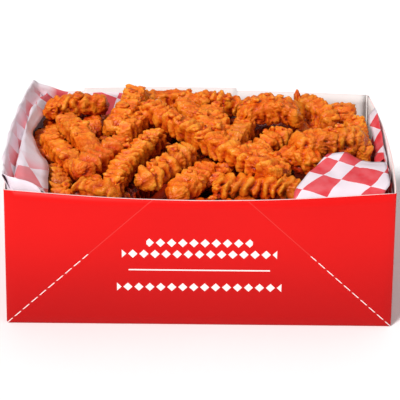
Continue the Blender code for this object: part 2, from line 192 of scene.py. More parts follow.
def offset_red_board():
    """Clay-coated boxboard under offset ink: a strong red with a soft satin sheen, and painted shade that
    darkens it towards the foot. The creases turn a little pale; the cuts, the rows of lozenges and the rule
    show white."""
    made, tree, shader = new_material("offset_red_board", 0.45, 0.12)
    place = add_node(tree, "ShaderNodeTexCoord").outputs["Object"]
    axes = add_node(tree, "ShaderNodeSeparateXYZ", None, {0: place}).outputs
    across = add_node(tree, "ShaderNodeMath", {"operation": "ABSOLUTE"}, {0: axes["X"]}).outputs[0]
    outward = add_node(tree, "ShaderNodeMath", {"operation": "ABSOLUTE"}, {0: axes["Y"]}).outputs[0]
    on_wall = add_node(tree, "ShaderNodeMath", {"operation": "GREATER_THAN"},
                       {0: outward, 1: LONG_WALL}).outputs[0]

    # Creases from the lower corners, and the short cuts along their lower part
    foot = add_node(tree, "ShaderNodeMath", {"operation": "MULTIPLY_ADD"},
                    {0: axes["Z"], 1: CREASE_SLOPE, 2: across}).outputs[0]
    beside = add_node(tree, "ShaderNodeMath", {"operation": "SUBTRACT"},
                      {0: foot, 1: HALF_LENGTH}).outputs[0]
    away = add_node(tree, "ShaderNodeMath", {"operation": "ABSOLUTE"}, {0: beside}).outputs[0]
    crease = add_node(tree, "ShaderNodeMapRange", {"interpolation_type": "SMOOTHSTEP"},
                      {"Value": away, "From Max": CREASE_WIDTH, "To Min": 1.0, "To Max": 0.0}).outputs[0]
    crease = add_node(tree, "ShaderNodeMath", {"operation": "MULTIPLY"}, {0: crease, 1: on_wall}).outputs[0]
    turn = add_node(tree, "ShaderNodeMath", {"operation": "MULTIPLY"},
                    {0: axes["Z"], 1: 1 / CUT_PITCH}).outputs[0]
    part = add_node(tree, "ShaderNodeMath", {"operation": "FRACT"}, {0: turn}).outputs[0]
    cut = add_node(tree, "ShaderNodeMath", {"operation": "LESS_THAN"}, {0: part, 1: CUT_SHARE}).outputs[0]
    low = add_node(tree, "ShaderNodeMath", {"operation": "LESS_THAN"},
                   {0: axes["Z"], 1: CUTS_UP_TO}).outputs[0]
    thin = add_node(tree, "ShaderNodeMath", {"operation": "LESS_THAN"},
                    {0: away, 1: CUT_WIDTH / 2}).outputs[0]
    white = on_wall
    for mask in (cut, low, thin):
        white = add_node(tree, "ShaderNodeMath", {"operation": "MULTIPLY"}, {0: white, 1: mask}).outputs[0]

    # Three rows of lozenges and a rule, left white in the red
    rows = []
    for height, reach, shift in PRINT_ROWS:
        step = add_node(tree, "ShaderNodeMath", {"operation": "MULTIPLY_ADD"},
                        {0: axes["X"], 1: 1 / LOZENGE_PITCH, 2: shift}).outputs[0]
        part = add_node(tree, "ShaderNodeMath", {"operation": "FRACT"}, {0: step}).outputs[0]
        side = add_node(tree, "ShaderNodeMath", {"operation": "SUBTRACT"}, {0: part, 1: 0.5}).outputs[0]
        side = add_node(tree, "ShaderNodeMath", {"operation": "ABSOLUTE"}, {0: side}).outputs[0]
        lift = add_node(tree, "ShaderNodeMath", {"operation": "SUBTRACT"},
                        {0: axes["Z"], 1: height}).outputs[0]
        lift = add_node(tree, "ShaderNodeMath", {"operation": "ABSOLUTE"}, {0: lift}).outputs[0]
        total = add_node(tree, "ShaderNodeMath", {"operation": "MULTIPLY_ADD"},
                         {0: lift, 1: LOZENGE_FLATNESS / LOZENGE_RISE, 2: side}).outputs[0]
        inside = add_node(tree, "ShaderNodeMath", {"operation": "LESS_THAN"},
                          {0: total, 1: LOZENGE_SIZE}).outputs[0]
        near = add_node(tree, "ShaderNodeMath", {"operation": "LESS_THAN"}, {0: across, 1: reach}).outputs[0]
        rows.append(add_node(tree, "ShaderNodeMath", {"operation": "MULTIPLY"},
                             {0: inside, 1: near}).outputs[0])
    lift = add_node(tree, "ShaderNodeMath", {"operation": "COMPARE"},
                    {0: axes["Z"], 1: RULE_PLACE, 2: RULE_WIDTH / 2}).outputs[0]
    near = add_node(tree, "ShaderNodeMath", {"operation": "LESS_THAN"},
                    {0: across, 1: RULE_REACH}).outputs[0]
    rows.append(add_node(tree, "ShaderNodeMath", {"operation": "MULTIPLY"}, {0: lift, 1: near}).outputs[0])
    for row in rows:
        row = add_node(tree, "ShaderNodeMath", {"operation": "MULTIPLY"}, {0: row, 1: on_wall}).outputs[0]
        white = add_node(tree, "ShaderNodeMath", {"operation": "MAXIMUM"}, {0: white, 1: row}).outputs[0]

    # The ink is a little cloudy and is worn pale along the creases; painted shade darkens the red towards
    # the foot
    cloud = add_node(tree, "ShaderNodeTexNoise", None,
                     {"Vector": place, "Scale": 14.0, "Detail": 3.0}).outputs["Fac"]
    red = add_node(tree, "ShaderNodeMix", {"data_type": "RGBA"},
                   {"Factor": cloud, "A": linear(RED_TONES[0]), "B": linear(RED_TONES[1])}).outputs["Result"]
    foot_shade = add_node(tree, "ShaderNodeMapRange", {"interpolation_type": "SMOOTHSTEP"},
                          {"Value": axes["Z"], "From Min": FOOT_SHADE_SPAN[0],
                           "From Max": FOOT_SHADE_SPAN[1]}).outputs[0]
    red = add_node(tree, "ShaderNodeMix", {"data_type": "RGBA"},
                   {"Factor": foot_shade, "A": red, "B": linear(FOOT_SHADE_RED)}).outputs["Result"]
    worn = add_node(tree, "ShaderNodeMath", {"operation": "MULTIPLY"},
                    {0: crease, 1: WORN_SHARE}).outputs[0]
    red = add_node(tree, "ShaderNodeMix", {"data_type": "RGBA"},
                   {"Factor": worn, "A": red, "B": linear(WORN_RED)}).outputs["Result"]
    colour = add_node(tree, "ShaderNodeMix", {"data_type": "RGBA"},
                      {"Factor": white, "A": red, "B": linear(BARE_WHITE)}).outputs["Result"]
    tree.links.new(colour, shader.inputs["Base Color"])

    # Board fibres, about 1 mm long, press faintly through the coating
    fibre = add_node(tree, "ShaderNodeTexNoise", None,
                     {"Vector": place, "Scale": FIBRE_SCALE, "Detail": 2.0}).outputs["Fac"]
    relief = add_node(tree, "ShaderNodeMath", {"operation": "MULTIPLY_ADD"},
                      {0: crease, 1: CREASE_DEPTH, 2: fibre}).outputs[0]
    bump = add_node(tree, "ShaderNodeBump", None,
                    {"Strength": 0.25, "Distance": FIBRE_DEPTH, "Height": relief}).outputs["Normal"]
    tree.links.new(bump, shader.inputs["Normal"])
    return made


def bare_board():
    """Uncoated back of bleached boxboard: matt, faintly warm and grey, with a soft fibre mottle."""
    made, tree, shader = new_material("bare_bleached_board", 0.75, 0.25)
    place = add_node(tree, "ShaderNodeTexCoord").outputs["Object"]
    cloud = add_node(tree, "ShaderNodeTexNoise", None,
                     {"Vector": place, "Scale": 30.0, "Detail": 5.0}).outputs["Fac"]
    colour = add_node(tree, "ShaderNodeMix", {"data_type": "RGBA"},
                      {"Factor": cloud, "A": linear("E4DCDA"), "B": linear("F2EDEA")}).outputs["Result"]
    tree.links.new(colour, shader.inputs["Base Color"])
    fibre = add_node(tree, "ShaderNodeTexNoise", None,
                     {"Vector": place, "Scale": 700.0, "Detail": 3.0}).outputs["Fac"]
    bump = add_node(tree, "ShaderNodeBump", None,
                    {"Strength": 0.3, "Distance": 0.0001, "Height": fibre}).outputs["Normal"]
    tree.links.new(bump, shader.inputs["Normal"])
    return made


def board_edge():
    """The cut edge of the board: pressed fibres, white with a little red ink drawn over it."""
    made, tree, shader = new_material("cut_board_edge", 0.8, 0.2)
    place = add_node(tree, "ShaderNodeTexCoord").outputs["Object"]
    speck = add_node(tree, "ShaderNodeTexNoise", None,
                     {"Vector": place, "Scale": 350.0, "Detail": 2.0}).outputs["Fac"]
    colour = add_node(tree, "ShaderNodeMix", {"data_type": "RGBA"},
                      {"Factor": speck, "A": linear("F9C9C6"), "B": linear("FBE9E6")}).outputs["Result"]
    tree.links.new(colour, shader.inputs["Base Color"])
    return made


def make_carton():
    bm = upright_box(0.0, 0.0, HEIGHT)
    folds = [edge for edge in bm.edges if not edge.is_boundary]
    bmesh.ops.bevel(bm, geom=folds, offset=FOLD_ROUND, segments=2, profile=0.5,
                    affect="EDGES", material=-1)
    cut_box(bm, CARTON_CUTS)
    for end in TAB_ENDS:
        for place in (end - TAB_STEP / 2, end + TAB_STEP / 2):
            everything = bm.verts[:] + bm.edges[:] + bm.faces[:]
            bmesh.ops.bisect_plane(bm, geom=everything, dist=1e-6,
                                   plane_co=(place, 0, 0), plane_no=(1, 0, 0))
    for vert in bm.verts:
        on_tab = vert.co.y > 0 and TAB_ENDS[0] < vert.co.x < TAB_ENDS[1] and vert.is_boundary
        vert.co = lean(vert.co)
        vert.co.z += TAB_RISE if on_tab else 0.0
    bmesh.ops.recalc_face_normals(bm, faces=bm.faces)
    piece = add_piece("folded_carton", bm, [offset_red_board(), bare_board(), board_edge()], 50)
    wall = piece.modifiers.new("board", "SOLIDIFY")
    wall.thickness = BOARD
    wall.offset = -1.0
    wall.use_even_offset = True
    wall.material_offset = 1
    wall.material_offset_rim = 2
    return piece


carton = make_carton()
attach(carton, "root")
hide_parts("carton")


# The paper: one sheet of greaseproof paper with a printed check, pushed down into the carton
# before it is filled. It stands over the left wall and is tucked in as a pleat, leans off the
# right wall as a narrow fold, and one corner is laid over the front rim onto the fries.

PAPER = 0.0003
WALL_GAP = 0.0010
FLOOR_GAP = 0.0003
PAPER_CUTS = (30, 15, 7)
CHECK = 0.0165
CRUMPLE = 0.0021
CRUMPLE_SPAN = (0.074, 0.086)
BROAD_CREASES = 55
SHARP_CREASES = 120
SHARP_SHARE = 0.45
VALLEY_REACH = 0.1112
VALLEY_STAIN = 0.0062
FAINT_PRINT = 0.04
FAINT_LEFT_OF = {"front": -0.080, "back": -0.098}
INK_ON_FOLD = 0.006
INK_AT_BACK = (0.030, 0.046)
INK_AT_FRONT = (0.030, 0.052)
INK_FRONT_SHARE = 0.8
INK_FALL = 1.5
INK_THIN = 0.88
PRINT_WANDER = 0.0012

# The red, the paper's own colour, the strength of the ink and the roughness of its two sides
PRINT_SIDE = ("DA1E2C", "E8D9E1", 0.98, 0.38)
REVERSE_SIDE = ("DC2A3A", "EBDFE5", 0.95, 0.45)
LEFT_WALL, RIGHT_WALL, FRONT_WALL, BACK_WALL, PAPER_FLOOR = range(5)

# Height of the paper's upper edge round the box, and the spans over which it changes
PAPER_LOW = 0.058
PAPER_OVER_RIM = 0.0013
WALL_END = 0.108
LEFT_CORNER_RISE = 0.006
LEFT_CORNER_BACK = (0.050, 0.072)
LEFT_CORNER_FRONT = (0.064, 0.0745)
RIGHT_EDGE = 0.082
RIGHT_EDGE_END = (0.040, 0.055)
BACK_EDGE_DROP = 0.002
BACK_CORNER_RISE = 0.0085
BACK_CORNER_SLOPE = (-0.115, -0.086)
BACK_EDGE_END = (-0.050, -0.035)
BAND_RISE = 0.0065
BAND_FALL = 0.0040
BAND_SLOPE = (-0.112, -0.090)
BAND_END = (-0.092, -0.084)
FLAP_EDGE = 0.0866
FLAP_START = (0.045, 0.055)

# The pleat over the left wall: how far each fold lies inwards of and above the one before it
CREST_IN = -0.0038
CREST_UP = 0.0098
CREST_END_IN = 0.0012
CREST_END_DROP = 0.0070
CREST_BACK_END = (0.054, 0.074)
CREST_FRONT_END = (0.050, 0.076)
VALLEY_IN = 0.0072
VALLEY_UP = -0.0130
RIDGE_IN = 0.0024
RIDGE_UP = 0.0088
RIDGE_DROP = 0.0045
RIDGE_DROP_SPAN = (0.035, 0.065)
HEM_IN = 0.0063
HEM_UP = -0.0072
HEM_FRONT_IN = 0.0115
HEM_FRONT_DROP = 0.0025
HEM_FRONT_SPAN = (0.0, 0.045)
NOTCH_IN = 0.0035
NOTCH_PLACE = 0.010
NOTCH_WIDTH = 0.010

# How far each fold of the pleat wavers, and how often in a metre
CREST_WAVER = (0.0012, 60)
VALLEY_WAVER = (0.0012, 45)
RIDGE_WAVER_UP = (0.0014, 50)
RIDGE_WAVER_IN = (0.0010, 70)

# The strip along the right wall, and the run of the wall that it hangs on
STRIP_SPAN = (-0.030, 0.045)
STRIP_IN = 0.0012
STRIP_FRONT_IN = 0.0035
STRIP_FRONT_SPAN = (-0.010, 0.055)
STRIP_UP = 0.0070
STRIP_BACK_UP = 0.0060
STRIP_BACK_SPAN = (-0.010, 0.035)
STRIP_HEM = (-0.0050, 0.0, -0.0060)

# The corner folded in over the front rim: the step back and up to each fold, for its left part
# and for its right part, and how far its free end slants
FLAP_SPAN = (0.050, 0.105)
FLAP_OVER = (0.0, 0.0070, 0.0035)
FLAP_OVER_RIGHT = (0.0060, 0.0070, 0.0035)
FLAP_OVER_SPAN = (0.080, 0.098)
FLAP_ON = (0.0, 0.0125, 0.0015)
FLAP_ON_RIGHT = (0.0, 0.0105, 0.0010)
FLAP_ON_SPAN = (0.085, 0.100)
FLAP_END = (0.0, 0.0105, 0.0035)
FLAP_END_RIGHT = (0.0, 0.0105, -0.0015)
FLAP_END_SPAN = (0.084, 0.094)
SLANT_FROM = 0.098
SLANT_LENGTH = 0.042
SLANT_ON = 0.007
SLANT_END = 0.009

# Where four checks of the print meet on each side of the sheet, in metres on the flat sheet,
# and how far the print is turned there, in degrees
CHECK_MEETS = {
    LEFT_WALL: (-0.2290, -0.0190, 25),
    RIGHT_WALL: (0.2060, 0.0100, 38),
    FRONT_WALL: (0.0810, -0.1765, -25),
    BACK_WALL: (-0.0720, 0.1640, 20),
    PAPER_FLOOR: (0.0, 0.0, 20),
}


def between(value, low, high):
    """How far a value has come from low to high, from 0 to 1 with soft ends."""
    share = min(max((value - low) / (high - low), 0.0), 1.0)
    return share * share * (3 - 2 * share)


def paper_top(x, y):
    """Height of the paper's upper edge at a place beside the wall, before any flap."""
    rim = HEIGHT + PAPER_OVER_RIM
    if x < -WALL_END:
        return rim + LEFT_CORNER_RISE * (between(y, *LEFT_CORNER_BACK) + between(-y, *LEFT_CORNER_FRONT))
    if x > WALL_END:
        return PAPER_LOW + (RIGHT_EDGE - PAPER_LOW) * (1 - between(y, *RIGHT_EDGE_END))
    if y > 0:
        standing = rim - BACK_EDGE_DROP + BACK_CORNER_RISE * (1 - between(x, *BACK_CORNER_SLOPE))
        return PAPER_LOW + (standing - PAPER_LOW) * (1 - between(x, *BACK_EDGE_END))
    band = rim + BAND_RISE - BAND_FALL * between(x, *BAND_SLOPE)
    left = (band - PAPER_LOW) * (1 - between(x, *BAND_END))
    right = (FLAP_EDGE - PAPER_LOW) * between(x, *FLAP_START)
    return PAPER_LOW + left + right


def left_ink(y, reach):
    """How strongly the print shows on the left: in the pleat's valley and at the pleat's two ends,
    where oil has soaked the paper, and only faintly elsewhere."""
    in_valley = math.exp(-((reach - VALLEY_REACH) / VALLEY_STAIN) ** 2)
    folded = between(reach, VALLEY_REACH - INK_ON_FOLD, VALLEY_REACH)
    in_corner = between(y, *INK_AT_BACK) * folded
    in_front = INK_FRONT_SHARE * between(-y, *INK_AT_FRONT) * folded
    return min(FAINT_PRINT + max(in_valley, in_corner, in_front), 1.0)


def add_row(bm, edges, place, wall, fold):
    """Extrudes a run of edges to its next fold, and notes how far the flat sheet reaches there."""
    crease_layer = bm.edges.layers.float["crease_edge"]
    wall_layer = bm.faces.layers.int["wall"]
    reach_layer = bm.verts.layers.float["reach"]
    ink_layer = bm.verts.layers.float["ink"]
    made = bmesh.ops.extrude_edge_only(bm, edges=edges)["geom"]
    corners = {item for item in made if isinstance(item, bmesh.types.BMVert)}
    for vert in corners:
        step = place(vert.co.copy())
        vert.co = vert.co + step
        vert[reach_layer] = vert[reach_layer] + step.length
        if wall == LEFT_WALL:
            vert[ink_layer] = left_ink(vert.co.y, vert[reach_layer])
    for face in made:
        if isinstance(face, bmesh.types.BMFace):
            face[wall_layer] = wall
    run = [item for item in made if isinstance(item, bmesh.types.BMEdge)]
    run = [edge for edge in run if edge.verts[0] in corners and edge.verts[1] in corners]
    for edge in run:
        edge[crease_layer] = fold
    return run


def rim_edges(bm, wanted):
    """The open edges whose two ends both pass a test."""
    rim = [edge for edge in bm.edges if edge.is_boundary]
    return [edge for edge in rim if all(wanted(vert.co) for vert in edge.verts)]


def waver(co, most, often):
    """How far a fold strays from its line at a place."""
    return most * noise.noise(co * often)


def add_left_fold(bm, edges):
    """Paper that stands over the left wall, turns in and lies down on the fries as a pleat."""

    def crest(co):
        back = between(co.y, *CREST_BACK_END)
        front = between(-co.y, *CREST_FRONT_END)
        rise = CREST_UP - CREST_END_DROP * (back + front) + waver(co, *CREST_WAVER)
        return Vector((CREST_IN + CREST_END_IN * back, 0, rise))

    def valley(co):
        return Vector((VALLEY_IN + waver(co, *VALLEY_WAVER), 0, VALLEY_UP))

    def ridge(co):
        rise = RIDGE_UP - RIDGE_DROP * between(co.y, *RIDGE_DROP_SPAN) + waver(co, *RIDGE_WAVER_UP)
        return Vector((RIDGE_IN + waver(co, *RIDGE_WAVER_IN), 0, rise))

    def hem(co):
        notch = math.exp(-((co.y - NOTCH_PLACE) / NOTCH_WIDTH) ** 2)
        front = between(-co.y, *HEM_FRONT_SPAN)
        inwards = HEM_IN + HEM_FRONT_IN * front - NOTCH_IN * notch
        return Vector((inwards, 0, HEM_UP - HEM_FRONT_DROP * front))

    for place, fold in ((crest, 0.2), (valley, 1.0), (ridge, 0.9), (hem, 1.0)):
        edges = add_row(bm, edges, place, LEFT_WALL, fold)


def add_right_fold(bm, edges):
    """Paper that leans off the right wall and doubles over into a narrow strip."""

    def ridge(co):
        inwards = STRIP_IN + STRIP_FRONT_IN * between(-co.y, *STRIP_FRONT_SPAN)
        return Vector((-inwards, 0, STRIP_UP + STRIP_BACK_UP * between(co.y, *STRIP_BACK_SPAN)))

    def hem(co):
        return Vector(STRIP_HEM)

    for place in (ridge, hem):
        edges = add_row(bm, edges, place, RIGHT_WALL, 0.9)


def add_front_flap(bm, edges):
    """The corner of the sheet, folded in over the front rim onto the fries."""

    def slant(co):
        return between(SLANT_FROM - co.x, 0.0, SLANT_LENGTH)

    def over(co):
        return Vector(FLAP_OVER).lerp(Vector(FLAP_OVER_RIGHT), between(co.x, *FLAP_OVER_SPAN))

    def onward(co):
        step = Vector(FLAP_ON).lerp(Vector(FLAP_ON_RIGHT), between(co.x, *FLAP_ON_SPAN))
        return step + Vector((SLANT_ON * slant(co), 0, 0))

    def to_end(co):
        step = Vector(FLAP_END).lerp(Vector(FLAP_END_RIGHT), between(co.x, *FLAP_END_SPAN))
        return step + Vector((SLANT_END * slant(co), 0, 0))

    for place, fold in ((over, 0.3), (onward, 0.2), (onward, 1.0), (to_end, 0.8)):
        edges = add_row(bm, edges, place, FRONT_WALL, fold)


def wall_of(face):
    """Which wall of the box a face belongs to, by the way it looks."""
    normal = face.normal
    if abs(normal.x) > 0.5:
        return LEFT_WALL if normal.x < 0 else RIGHT_WALL
    if abs(normal.y) > 0.5:
        return FRONT_WALL if normal.y < 0 else BACK_WALL
    return PAPER_FLOOR


def lay_flat(bm):
    """Gives the sheet its flat pattern: each corner's place on the unfolded paper, in metres."""
    flat = bm.loops.layers.uv.new("flat_sheet")
    wall_layer = bm.faces.layers.int["wall"]
    reach_layer = bm.verts.layers.float["reach"]
    box_x = bm.verts.layers.float["box_x"]
    box_y = bm.verts.layers.float["box_y"]
    for face in bm.faces:
        wall = face[wall_layer]
        for loop in face.loops:
            vert = loop.vert
            x, y, reach = vert[box_x], vert[box_y], vert[reach_layer]
            if wall == LEFT_WALL:
                place = (-HALF_LENGTH - reach, y)
            elif wall == RIGHT_WALL:
                place = (HALF_LENGTH + reach, y)
            elif wall == FRONT_WALL:
                place = (x, -HALF_WIDTH - reach)
            elif wall == BACK_WALL:
                place = (x, HALF_WIDTH + reach)
            else:
                place = (x, y)
            meet_x, meet_y, turn = CHECK_MEETS[wall]
            from_meet = Vector((place[0] - meet_x, place[1] - meet_y))
            from_meet.rotate(Matrix.Rotation(math.radians(turn), 2))
            loop[flat].uv = from_meet


def crumple(co):
    """Height of the creases at a place: flat facets between sharp folds, as in crushed paper."""
    broad = abs(noise.noise(co * BROAD_CREASES)) - 0.25
    sharp = abs(noise.noise(co * SHARP_CREASES + Vector((7, 3, 1)))) - 0.2
    return broad + SHARP_SHARE * sharp


def printed_check(name, red, white, strength, gloss):
    """Wax-coated greaseproof paper, softly shiny, with a red check printed on it. The ink is uneven,
    and shows only as strongly as the sheet's own ink value says."""
    made, tree, shader = new_material(name, gloss, 0.5)
    flat = add_node(tree, "ShaderNodeUVMap", {"uv_map": "flat_sheet"}).outputs["UV"]
    place = add_node(tree, "ShaderNodeTexCoord").outputs["Object"]
    wander = add_node(tree, "ShaderNodeTexNoise", None,
                      {"Vector": flat, "Scale": 90.0, "Detail": 2.0}).outputs["Color"]
    shifted = add_node(tree, "ShaderNodeVectorMath", {"operation": "MULTIPLY_ADD"},
                       {0: wander, 1: (PRINT_WANDER, PRINT_WANDER, 0), 2: flat}).outputs[0]
    check = add_node(tree, "ShaderNodeTexChecker", None,
                     {"Vector": shifted, "Scale": 1 / CHECK}).outputs["Fac"]
    ink = add_node(tree, "ShaderNodeTexNoise", None,
                   {"Vector": place, "Scale": 160.0, "Detail": 4.0}).outputs["Fac"]
    cover = add_node(tree, "ShaderNodeMapRange", None,
                     {"Value": ink, "From Min": 0.3, "From Max": 0.75,
                      "To Min": strength, "To Max": strength * INK_THIN}).outputs[0]
    left = add_node(tree, "ShaderNodeAttribute", {"attribute_name": "ink"}).outputs["Fac"]
    shows = add_node(tree, "ShaderNodeMath", {"operation": "POWER"}, {0: left, 1: INK_FALL}).outputs[0]
    for part in (check, shows):
        cover = add_node(tree, "ShaderNodeMath", {"operation": "MULTIPLY"}, {0: cover, 1: part}).outputs[0]
    colour = add_node(tree, "ShaderNodeMix", {"data_type": "RGBA"},
                      {"Factor": cover, "A": linear(white), "B": linear(red)}).outputs["Result"]
    tree.links.new(colour, shader.inputs["Base Color"])
    cockle = add_node(tree, "ShaderNodeTexNoise", None,
                      {"Vector": place, "Scale": 260.0, "Detail": 4.0, "Roughness": 0.6}).outputs["Fac"]
    bump = add_node(tree, "ShaderNodeBump", None,
                    {"Strength": 0.5, "Distance": 0.0004, "Height": cockle}).outputs["Normal"]
    tree.links.new(bump, shader.inputs["Normal"])
    return made


def face_outwards(bm):
    """Turns the faces of a sheet outwards, which its floor tells, because it looks down."""
    bmesh.ops.recalc_face_normals(bm, faces=bm.faces)
    floor = min(bm.faces, key=lambda face: face.calc_center_median().z)
    if floor.normal.z > 0:
        bmesh.ops.reverse_faces(bm, faces=bm.faces)


def make_paper():
    inset = BOARD + WALL_GAP
    floor = BOARD + FLOOR_GAP
    bm = upright_box(inset, floor, HEIGHT)
    cut_box(bm, PAPER_CUTS)
    bm.normal_update()
    wall_layer = bm.faces.layers.int.new("wall")
    reach_layer = bm.verts.layers.float.new("reach")
    box_x = bm.verts.layers.float.new("box_x")
    box_y = bm.verts.layers.float.new("box_y")
    ink_layer = bm.verts.layers.float.new("ink")
    bm.edges.layers.float.new("crease_edge")
    for face in bm.faces:
        face[wall_layer] = wall_of(face)
    for vert in bm.verts:
        rise = (vert.co.z - floor) / (HEIGHT - floor)
        vert.co.z = floor + rise * (paper_top(vert.co.x, vert.co.y) - floor)
        vert[reach_layer] = vert.co.z - floor
        faint_from = FAINT_LEFT_OF["front" if vert.co.y < 0 else "back"]
        vert[ink_layer] = FAINT_PRINT if vert.co.x < faint_from else 1.0
        vert[box_x], vert[box_y] = vert.co.x, vert.co.y
        vert.co = lean(vert.co)
    left = rim_edges(bm, lambda co: co.x < -WALL_END)
    right = rim_edges(bm, lambda co: co.x > WALL_END and STRIP_SPAN[0] < co.y < STRIP_SPAN[1])
    front = rim_edges(bm, lambda co: FLAP_SPAN[0] < co.x < FLAP_SPAN[1] and co.y < 0)
    add_left_fold(bm, left)
    add_right_fold(bm, right)
    add_front_flap(bm, front)
    lay_flat(bm)
    face_outwards(bm)
    outside = printed_check("waxed_check_print", *PRINT_SIDE)
    inside = printed_check("waxed_check_reverse", *REVERSE_SIDE)
    piece = add_piece("check_paper", bm, [outside, inside], 180)
    finer = piece.modifiers.new("finer", "SUBSURF")
    finer.subdivision_type = "CATMULL_CLARK"
    finer.boundary_smooth = "PRESERVE_CORNERS"
    finer.levels = 2
    finer.render_levels = 2
    shaped = bpy.data.meshes.new_from_object(piece.evaluated_get(bpy.context.evaluated_depsgraph_get()))
    piece.modifiers.clear()
    piece.data = shaped
    bm = bmesh.new()
    bm.from_mesh(shaped)
    bm.normal_update()
    for vert in bm.verts:
        free = between(vert.co.z, *CRUMPLE_SPAN)
        vert.co = vert.co + vert.normal * (CRUMPLE * crumple(vert.co) * free)
    bm.to_mesh(shaped)
    bm.free()
    sheet = piece.modifiers.new("sheet", "SOLIDIFY")
    sheet.thickness = PAPER
    sheet.offset = -1.0
    sheet.material_offset = 1
    return piece


paper = make_paper()
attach(paper, "root")
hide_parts("liner")


# The fries: crinkle-cut potato sticks of square section, dipped in seasoned batter and deep fried,
# heaped in the carton. The heap is packed below and shows single fries on top, which come in three
# pieces from front to back, because one piece would hold too many triangles.

RIDGES = (0.0052, 0.0076)
RIDGE_DEPTHS = (0.0007, 0.0021)
RIDGE_SLANT = 0.35
RIDGE_BOW = 0.2
VALLEY_SHARPNESS = 1.8

# How much the ridges wander along a fry and swell across it, and how often in a metre
RIDGE_WANDER = (0.5, 120)
RIDGE_BEAD = (1.1, 130)

# The crust's relief: how often in a metre, and how high
LUMPS = (150, 0.0013)
CRAGS = (420, 0.0008)
CRAG_PATCHES = 50
FINE_GRAIN = (800, 0.00042)

# The crest value, which the batter's colour follows as painted shade in the valleys and painted highlight on
# the crests, and the tint, which browns or reddens it
CREST_MIDDLE = 0.62
CREST_RELIEF = 0.0042
DEPTH_SHADE_STRENGTH = 0.40
TINTS = (0.1, 0.7)
TINT_PATCHES = (0.35, 60)
# painted shade: the packed fries below sit low and dark on the colour ramp
CORE_CREST = 0.15
CORE_RELIEF = 0.008
CORE_TINT = 0.2

# The batter from painted shade in its valleys to painted highlight on its crests, on the upper fries, and a
# darker copy of it as painted shade on the imported ones
CRISP_COLOURS = ("5E0600", "B42C02", "E4660A", "FAA22C")
CRISP_GLOSS = 0.28
SHADED_COLOURS = ("520400", "740A01", "900F02", "A82404")
SHADED_GLOSS = 0.08

CRUST_SINK = 0.0005
END_SHARE = 0.62
END_ROUND = 0.0045
END_DOME = 0.0018
SHORTEST_FRY = 0.026
CORE_GAP = 0.0018
CORE_EDGE = 0.063
CORE_CUTS = (109, 73, 9)
CORE_RISE = 0.008
CORE_CORNER_DROP = 0.006
CORE_CORNER = ((0.045, 0.065), (0.020, 0.040))
CORE_BACK_DROP = 0.009
CORE_BACK = ((0.015, 0.040), (0.030, 0.050))
FILLER_ROWS = 6
FILLER_COLUMNS = 5
FILLER_SHIFT = (0.25, 0.75)
FILLER_THICKNESSES = (0.0122, 0.0142)
FILLER_RISES = (0.05, 0.45)
FILLER_LENGTHS = (0.046, 0.074)
FILLER_PITCH = 8
FILLER_SEED = 11
RIGHT_LIMIT = 0.104
LEFT_LIMIT = -0.096
WALL_CLEARANCE = 0.0035
OUTER_TURN = math.radians(14)
# painted shade: fries darken below this height, over this depth, as if in shadow deep in the heap
DEPTH_SHADE_FROM = 0.085
DEPTH_SHADE_SPAN = 0.013
# painted shade: the batter darkens where these rays upwards meet other fries
HOLLOW_RAYS = ((0, 0, 1), (0.8, 0, 0.6), (-0.8, 0, 0.6), (0, 0.8, 0.6), (0, -0.8, 0.6))
HOLLOW_REACH = 0.020
HOLLOW_LIFT = 0.0004
HOLLOW_SHADE_SPAN = (0.3, 1.0)
HOLLOW_SHADE_STRENGTH = 0.36
GRAIN = 0.00062
GRAIN_BELOW = 0.00102
FAR_FROM = -0.012
FAR_NUMBER = 30
FILLER_NUMBER = 60
MIDDLE_FROM = -0.016
BEHIND_FROM = 0.020

